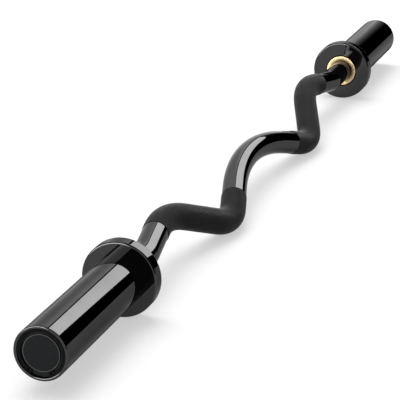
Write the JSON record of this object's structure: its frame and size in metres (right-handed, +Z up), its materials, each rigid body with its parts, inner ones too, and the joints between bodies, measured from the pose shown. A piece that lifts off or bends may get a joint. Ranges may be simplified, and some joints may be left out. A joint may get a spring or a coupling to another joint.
{
  "type": "ez curl bar",
  "caption": "Bent curl bar with knurled angled grips, round collars and plate sleeves that turn on brass bushings.",
  "frame": {"origin": "on the floor, under the middle of the bar, straight below the sleeve axis", "axes": "+X along the sleeve axis towards the right end, +Z up from the floor that the bar lies on"},
  "size_m": [1.2, 0.074, 0.074],
  "materials": {
    "black_shaft": "gloss black, knurled on the grips",
    "gloss_black": "gloss black",
    "brass": "turned",
    "steel": "plain",
    "cap_black": "matte black",
    "ring_black": "black oxide",
    "label_dark": "satin print"
  },
  "bodies": {
    "shaft": {"shaft": "black_shaft", "left_thrust_washer": "brass", "left_backing_washer": "steel", "left_shaft_snap_ring": "steel", "right_thrust_washer": "brass", "right_backing_washer": "steel", "right_shaft_snap_ring": "steel"},
    "left_sleeve": {"left_sleeve": "gloss_black", "left_collar": "gloss_black", "left_inner_bushing": "brass", "left_outer_bushing": "brass", "left_end_cap": "cap_black", "left_cap_snap_ring": "ring_black", "left_cap_label": "label_dark"},
    "right_sleeve": {"right_sleeve": "gloss_black", "right_collar": "gloss_black", "right_inner_bushing": "brass", "right_outer_bushing": "brass", "right_end_cap": "cap_black", "right_cap_snap_ring": "ring_black", "right_cap_label": "label_dark"}
  },
  "joints": [
    {"name": "left_sleeve_spin", "type": "hinge", "parent": "shaft", "child": "left_sleeve", "pos_m": [-0.5, 0, 0.037], "axis": [1, 0, 0], "continuous": true},
    {"name": "right_sleeve_spin", "type": "hinge", "parent": "shaft", "child": "right_sleeve", "pos_m": [0.5, 0, 0.037], "axis": [1, 0, 0], "continuous": true}
  ]
}
